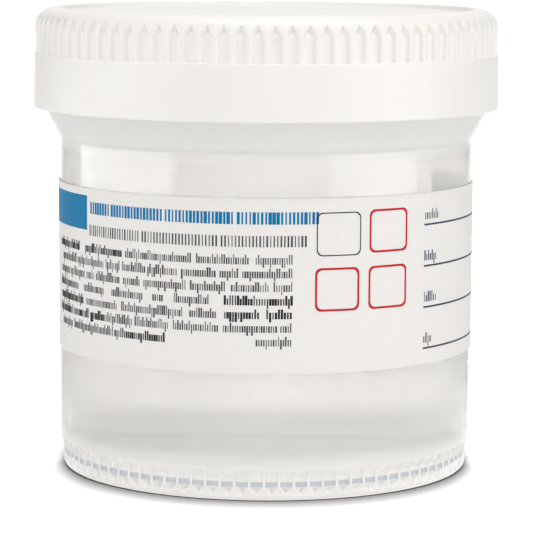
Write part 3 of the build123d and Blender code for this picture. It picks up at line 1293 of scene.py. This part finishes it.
@dataclass
class Label:
    """The wrap label and its print, drawn as plain fields, boxes, lines and rows of marks."""

    height: float = 25.4
    drop: float = 6.3
    thickness: float = 0.15
    glue: float = 0.05
    left_degrees: float = 100.0
    right_degrees: float = 120.0
    film: float = 0.02
    sheet_steps: int = 220
    sheet_bands: tuple[float, ...] = (0.0, 0.004, 0.5, 0.996, 1.0)  # rows, as shares of its height

    title: WordRow = WordRow(40.4, ((-29.9, -25.7), (-24.9, -15.7), (-14.9, -4.8), (-3.9, 7.5)))
    subtitle: WordRow = WordRow(37.15, ((-30.2, -19.7), (-18.9, -7.1), (-6.3, 5.8)))
    first_fine_baseline: float = 34.65
    fine_pitch: float = 1.97
    fine_rows: tuple[tuple[tuple[float, float], ...], ...] = (
        ((-22.0, -11.0), (-10.0, -2.5), (-1.3, 3.8)),
        ((-40.6, -34.7), (-34.0, -26.9), (-26.2, -23.4), (-22.6, -18.5), (-17.9, -13.2),
         (-12.3, -7.3), (-6.5, -4.0), (-3.2, 3.8)),
        ((-41.5, -37.3), (-36.6, -32.0), (-31.2, -29.4), (-28.5, -23.4), (-22.4, -19.5),
         (-18.6, -11.8), (-10.9, -5.9), (-4.8, 0.4), (1.3, 3.8)),
        ((-42.0, -34.0), (-32.0, -26.9), (-24.9, -19.0), (-17.0, -15.5), (-13.5, -8.3)),
        ((-31.3, -24.0), (-22.8, -12.3), (-11.0, -7.2)),
        ((-26.5, -20.9), (-20.2, -14.6), (-13.6, -6.9), (-6.0, 1.6), (2.3, 3.7)),
        ((-40.8, -36.2), (-35.2, -24.8), (-1.2, 3.7)),
    )
    bold_rows: tuple[tuple[tuple[float, float], ...], ...] = (
        ((-41.8, -33.6), (-31.5, -23.0)),
        (),
        (),
        ((-5.8, 3.8),),
        ((-41.6, -32.4), (-5.8, -1.0), (0.3, 3.7)),
        ((-42.0, -36.1), (-35.5, -30.8), (-30.0, -26.9)),
        ((-24.2, -15.2),),
    )
    box_size: tuple[float, float] = (6.8, 6.3)
    box_round: float = 0.9
    black_stroke: float = 0.16
    red_stroke: float = 0.32
    box_places: tuple[tuple[float, float], ...] = (
        (10.8, 38.9), (19.0, 39.1), (10.6, 30.9), (18.9, 30.9))
    line_left: float = 26.05
    line_right: float = 62.0
    line_half: float = 0.13
    line_heights: tuple[float, ...] = (39.4, 33.3, 27.2, 21.1)
    caption_inset: float = 0.2
    caption_lift: float = 0.8
    captions: tuple[float, ...] = (3.0, 2.6, 2.7, 1.5)
    teal_field: tuple[float, float, float, float] = (-46.0, -31.05, 37.9, 43.0)

    def sheet(self, jar: Jar) -> bpy.types.Mesh:
        """Build the label's paper as a thin closed strip that follows the wall."""
        low_z = jar.body_height - self.drop - self.height
        high_z = low_z + self.height
        steps = self.sheet_steps
        sweep = self.left_degrees + self.right_degrees
        heights = [low_z + (high_z - low_z) * share for share in self.sheet_bands]
        ring = [(self.thickness, z) for z in heights] + [(0.0, z) for z in reversed(heights)]
        points: list[tuple] = []
        for k in range(steps + 1):
            angle = math.radians(-90 - self.left_degrees + sweep * k / steps)
            for lift, z in ring:
                r = jar.radius_at(z) + self.glue + lift
                points.append((r * math.cos(angle), r * math.sin(angle), z))
        size = len(ring)
        faces: list[tuple] = [tuple(range(size))[::-1]]
        for k in range(steps):
            for j in range(size):
                a, b = k * size + j, k * size + (j + 1) % size
                faces.append((a, a + size, b + size, b))
        faces.append(tuple(steps * size + j for j in range(size)))
        return mesh_from("label_wrap", points, faces)

    def build(self, jar: Jar, plates: Tree, marks: Tree) -> None:
        """Build the label and each colour of its print, and set them on the jar's body.

        Args:
            jar: The jar that the label is wrapped round.
            plates: The tree that bends flat plates round the wall.
            marks: The tree that sets rows of marks.
        """
        paper = link(bpy.data.objects.new("label_wrap", self.sheet(jar)))
        paper.data.materials.append(PAPER.build())
        smoothed(paper)
        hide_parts("label")
        slope = jar.body_draft / (jar.body_height - jar.foot_height)
        foot = jar.radius_at(0.0) + self.glue + self.thickness
        teal, red = TEAL_INK.build(), RED_INK.build()
        grey, dark, slate = GREY_INK.build(), DARK_INK.build(), LINE_INK.build()
        wall = {"Foot radius": foot * MM, "Slope": slope, "Thickness": self.film * MM}

        block = Plates()
        block.field_of(*self.teal_field)
        black_box, red_boxes, lines = Plates(), Plates(), Plates()
        width, height = self.box_size
        black_box.frame_of(self.box_places[0], width, height, self.box_round, self.black_stroke)
        for place in self.box_places[1:]:
            red_boxes.frame_of(place, width, height, self.box_round, self.red_stroke)
        for z in self.line_heights:
            lines.field_of(self.line_left, self.line_right, z - self.line_half, z + self.line_half)
        pieces = [
            grown("label_print_block", block.mesh("block"), plates, wall | {"Material": teal}),
            grown("label_print_box", black_box.mesh("box"), plates, wall | {"Material": dark}),
            grown("label_print_red_boxes", red_boxes.mesh("boxes"), plates, wall | {"Material": red}),
            grown("label_print_lines", lines.mesh("lines"), plates, wall | {"Material": slate}),
        ]
        fine_zs = [self.first_fine_baseline - self.fine_pitch * k
                   for k in range(len(self.fine_rows))]
        fine = [WordRow(z, spans) for z, spans in zip(fine_zs, self.fine_rows)]
        bold = [WordRow(z, spans) for z, spans in zip(fine_zs, self.bold_rows)]
        caption_left = self.line_left + self.caption_inset
        captions = [WordRow(z + self.caption_lift, ((caption_left, caption_left + span),))
                    for z, span in zip(self.line_heights, self.captions)]
        # name, rows, ink, pitch, stroke, low and high mark, shares of tall and hung marks, seed
        styles = [
            ("label_print_title", [self.title], teal, 0.56, 0.36, 1.75, 1.75, 0.0, 0.0, 11),
            ("label_print_subtitle", [self.subtitle], grey, 0.5, 0.2, 1.6, 1.6, 0.0, 0.0, 12),
            ("label_print_fine", fine, grey, 0.34, 0.19, 0.95, 1.4, 0.26, 0.1, 13),
            ("label_print_bold", bold, dark, 0.38, 0.26, 0.95, 1.4, 0.26, 0.1, 14),
            ("label_print_captions", captions, slate, 0.4, 0.2, 0.95, 1.5, 0.3, 0.1, 15),
        ]
        for name, rows, ink, pitch, stroke, low, high, share, hung, seed in styles:
            pieces.append(grown(name, self.word_lines(name, rows), marks, wall | {
                "Pitch": pitch * MM, "Width": stroke * MM, "Low": low * MM, "High": high * MM,
                "High share": share, "Drop share": hung, "Seed": seed, "Material": ink}))
        for piece in [paper, *pieces]:
            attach(piece, "jar")
            log.info("%s: %d faces", piece.name, len(piece.data.polygons))

    def word_lines(self, name: str, rows: list[WordRow]) -> bpy.types.Mesh:
        """Return loose edges, one along the baseline of each word."""
        points: list[tuple] = []
        for row in rows:
            points += [(x, -self.film / 2, row.baseline) for span in row.spans for x in span]
        edges = [(k, k + 1) for k in range(0, len(points), 2)]
        return mesh_from(name, points, [], edges)


# ---------------------------------------------------------------- camera and light


@dataclass
class Studio:
    """A white table-top studio: the camera, three softboxes, and a white table and surround.

    Distances of the table's ramps are in metres from the object's axis, and the world's are the
    parts of a direction.
    """

    distance: float = 421.26
    eye_height: float = 84.06
    pitch_degrees: float = 7.268
    roll_degrees: float = 0.338
    yaw_degrees: float = -0.025
    lens: float = 185.76
    sensor: float = 36.0
    lamp_distance: float = 0.9
    lamp_target_mm: float = 35.0
    softboxes: tuple[tuple[str, float, float, tuple[float, float], float], ...] = (
        ("left_softbox", -70, 12, (1.0, 0.5), 1.9),
        ("right_softbox", 58, 12, (0.85, 0.5), 1.8),
        ("top_softbox", 25, 68, (0.8, 0.8), 3.4),
    )
    surround: float = 0.72      # light of the world on matt surfaces, 1 being white
    front_share: float = 0.74   # share of it that comes from the dim side behind the camera
    front_ramp: tuple[float, float] = (-0.95, -0.3)
    back_share: float = 0.5     # share of it that comes from behind the object
    back_ramp: tuple[float, float] = (0.1, 0.6)
    side_share: float = 0.08    # share of white that gloss and clear walls show at flagged sides
    side_ramp: tuple[float, float] = (0.2, 0.6)
    side_dim: float = 0.7       # share of the surround's light that comes from there
    side_dim_ramp: tuple[float, float] = (0.35, 0.8)
    table_reach: float = 6.0
    table_tint: str = "F2F2F2"
    near_glow: float = 0.45     # the table's own white under the object, to the camera
    under_glow: float = 1.0     # and as seen through the jar
    glow_ramp: tuple[float, float] = (0.06, 0.3)
    flag_ramp: tuple[float, float] = (0.04, 0.1)    # where the flagged sides begin
    contact_mm: tuple[float, float] = (1.2, 8.0)    # reach of its contact shadow, aside and in front
    contact_power: float = 1.8
    table_light: float = 0.1    # light of the table close by on matt surfaces
    table_light_ramp: tuple[float, float] = (0.035, 0.08)
    # painted light: where the table glows to glossy rays, toward the softboxes: azimuth and
    # half-spread in degrees
    gleams: tuple[tuple[float, float], ...] = ((-85.0, 35.0), (61.0, 26.5))
    gleam: float = 2.15
    gleam_ramp: tuple[float, float] = (0.08, 0.3)
    gleam_edge: float = 0.02

    def camera(self) -> None:
        """Make the scene's camera."""
        data = bpy.data.cameras.new("camera")
        data.lens = self.lens
        data.sensor_width = self.sensor
        data.clip_end = 50.0
        camera = link(bpy.data.objects.new("camera", data))
        turn = (Matrix.Rotation(math.radians(self.yaw_degrees), 4, "Z")
                @ Matrix.Rotation(math.radians(90 - self.pitch_degrees), 4, "X")
                @ Matrix.Rotation(math.radians(self.roll_degrees), 4, "Z"))
        camera.matrix_world = Matrix.Translation((0, -self.distance * MM, self.eye_height * MM)) @ turn
        bpy.context.scene.camera = camera

    def softbox(self, name: str, azimuth: float, elevation: float,
                size: tuple[float, float], watts: float) -> None:
        """Make one softbox that faces the object.

        Args:
            name: The lamp's name.
            azimuth: Direction in degrees from the camera's, positive to its right.
            elevation: Height above the horizon in degrees.
            size: Width and height in metres.
            watts: Power.
        """
        data = bpy.data.lights.new(name, "AREA")
        data.shape = "RECTANGLE"
        data.size, data.size_y = size
        data.energy = watts
        lamp = link(bpy.data.objects.new(name, data))
        a, e = math.radians(azimuth), math.radians(elevation)
        way = Vector((math.sin(a) * math.cos(e), -math.cos(a) * math.cos(e), math.sin(e)))
        lamp.location = Vector((0, 0, self.lamp_target_mm * MM)) + way * self.lamp_distance
        lamp.rotation_mode = "QUATERNION"
        lamp.rotation_quaternion = (-way).to_track_quat("-Z", "Y")

    def world(self) -> None:
        """Make the world: white to the camera, and softer and flagged at the sides as a light."""
        world = bpy.data.worlds.new("white_surround")
        bpy.context.scene.world = world
        world.use_nodes = True
        tree = world.node_tree
        tree.nodes.clear()
        path = add_node(tree, "ShaderNodeLightPath").outputs
        through = calc(tree, "MAXIMUM", path["Is Glossy Ray"], path["Is Transmission Ray"])
        seen = calc(tree, "MAXIMUM", path["Is Camera Ray"], through)
        place = add_node(tree, "ShaderNodeTexCoord").outputs["Generated"]
        way = add_node(tree, "ShaderNodeSeparateXYZ", {0: place}).outputs
        aside = calc(tree, "ABSOLUTE", way["X"])
        front = ease(tree, way["Y"], *self.front_ramp, self.front_share, 1.0)
        back = ease(tree, way["Y"], *self.back_ramp, 1.0, self.back_share)
        side = ease(tree, aside, *self.side_ramp, 1.0, self.side_share)
        dim = ease(tree, aside, *self.side_dim_ramp, 1.0, self.side_dim)
        shown = calc(tree, "MAXIMUM", calc(tree, "MULTIPLY", front, side), path["Is Camera Ray"])
        level = calc(tree, "MULTIPLY", calc(tree, "MULTIPLY", front, back), dim)
        level = calc(tree, "MULTIPLY", level, self.surround)
        soft, white = (add_node(tree, "ShaderNodeBackground", {"Color": WHITE, "Strength": strength})
                       for strength in (level, shown))
        mixed = add_node(tree, "ShaderNodeMixShader",
                         {0: seen, 1: soft.outputs[0], 2: white.outputs[0]})
        add_node(tree, "ShaderNodeOutputWorld", {"Surface": mixed.outputs[0]})

    def contact_shade(self, tree: Tree, camera_ray: Socket, ahead: Socket) -> Socket:
        """Add the shadow where the object meets the table, which only the camera sees.

        Args:
            tree: The table's material tree.
            camera_ray: Socket that is 1 for rays from the camera.
            ahead: Socket that is 1 in front of the object and behind it, and 0 beside it.

        Returns:
            The socket with the light's share, 1 where there is no shadow.
        """
        low, high = in_metres(self.contact_mm)
        reach = add_node(tree, "ShaderNodeMapRange", {"Value": ahead, "To Min": low, "To Max": high})
        nook = add_node(tree, "ShaderNodeAmbientOcclusion", {"Distance": reach.outputs[0]}, samples=8)
        dusk = calc(tree, "POWER", nook.outputs["AO"], self.contact_power)
        return mix_value(tree, camera_ray, 1.0, dusk)

    def gleam_share(self, tree: Tree, way: Socket) -> Socket:
        """Return the socket that is 1 where the table's painted light lies, toward the softboxes, by
        direction.
        """
        shares = []
        for azimuth, spread in self.gleams:
            a = math.radians(azimuth)
            toward = add_node(tree, "ShaderNodeVectorMath",
                              {0: way, 1: (math.sin(a), -math.cos(a), 0.0)}, operation="DOT_PRODUCT")
            rim = math.cos(math.radians(spread))
            shares.append(ease(tree, toward.outputs["Value"], rim - self.gleam_edge,
                               rim + self.gleam_edge))
        return calc(tree, "ADD", *shares)

    def table_material(self) -> Material:
        """Make the table's pale paint, which shows white and keeps the object's shadow."""
        material = bpy.data.materials.new("white_table_paint")
        material.use_nodes = True
        tree = material.node_tree
        tree.nodes.clear()
        path = add_node(tree, "ShaderNodeLightPath").outputs
        place = add_node(tree, "ShaderNodeTexCoord").outputs["Object"]
        away = add_node(tree, "ShaderNodeVectorMath", {0: place}, operation="LENGTH").outputs["Value"]
        way = add_node(tree, "ShaderNodeVectorMath", {0: place}, operation="NORMALIZE").outputs[0]
        split = add_node(tree, "ShaderNodeSeparateXYZ", {0: way}).outputs
        ahead = calc(tree, "ABSOLUTE", split["Y"])
        shade = self.contact_shade(tree, path["Is Camera Ray"], ahead)
        paint = mix_colour(tree, shade, "000000", self.table_tint)
        matt = add_node(tree, "ShaderNodeBsdfDiffuse", {"Color": paint})

        near = mix_value(tree, path["Is Transmission Ray"], self.near_glow, self.under_glow)
        seen = calc(tree, "MAXIMUM", path["Is Camera Ray"], path["Is Glossy Ray"])
        seen = calc(tree, "MAXIMUM", seen, path["Is Transmission Ray"])
        white = calc(tree, "MULTIPLY", seen, ease(tree, away, *self.glow_ramp, near, 1.0))
        aside = calc(tree, "ABSOLUTE", split["X"])
        flag = ease(tree, aside, *self.side_ramp, 0.0, 1 - self.side_share)
        flag = calc(tree, "MULTIPLY", flag, ease(tree, away, *self.flag_ramp))
        lost = mix_value(tree, path["Is Camera Ray"], flag, 0.0)
        white = calc(tree, "MULTIPLY", white, calc(tree, "SUBTRACT", 1.0, lost))
        white = calc(tree, "MULTIPLY", white, shade)
        # painted light: the table glows to glossy rays where the softboxes would light it
        gloss = calc(tree, "MULTIPLY", self.gleam_share(tree, way), path["Is Glossy Ray"])
        lit = ease(tree, away, *self.gleam_ramp, 0.0, self.gleam)
        white = calc(tree, "MULTIPLY_ADD", gloss, lit, white)
        bounce = ease(tree, away, *self.table_light_ramp, self.table_light, 0.0)
        white = calc(tree, "MULTIPLY_ADD", path["Is Diffuse Ray"], bounce, white)
        glow = add_node(tree, "ShaderNodeEmission", {"Color": WHITE, "Strength": white})
        both = add_node(tree, "ShaderNodeAddShader", {0: matt.outputs[0], 1: glow.outputs[0]})
        add_node(tree, "ShaderNodeOutputMaterial", {"Surface": both.outputs[0]})
        return material

    def table(self) -> None:
        """Make the table's flat top."""
        reach = self.table_reach
        mesh = bpy.data.meshes.new("floor")
        corners = [(-reach, -reach, 0), (reach, -reach, 0), (reach, reach, 0), (-reach, reach, 0)]
        mesh.from_pydata(corners, [], [(0, 1, 2, 3)])
        floor = link(bpy.data.objects.new("floor", mesh))
        mesh.materials.append(self.table_material())

    def build(self) -> None:
        """Set up the camera, the lamps, the world and the table."""
        self.camera()
        for softbox in self.softboxes:
            self.softbox(*softbox)
        self.world()
        self.table()
        bpy.context.scene.view_settings.view_transform = "Standard"


def main() -> None:
    """Build the jar, its contents, cap and label, then the studio, and note the sizes."""
    logging.basicConfig(level=logging.INFO, format="%(name)s: %(message)s")
    ring, ridges = sector_ring_tree(), thread_tree()
    jar = Jar()
    jar.build(ring, ridges)
    Contents().build(jar, ring)
    Cap().build(jar, ring, ridges)
    Label().build(jar, plate_wrap_tree(), print_row_tree())
    Studio().build()


if __name__ == "__main__":
    main()
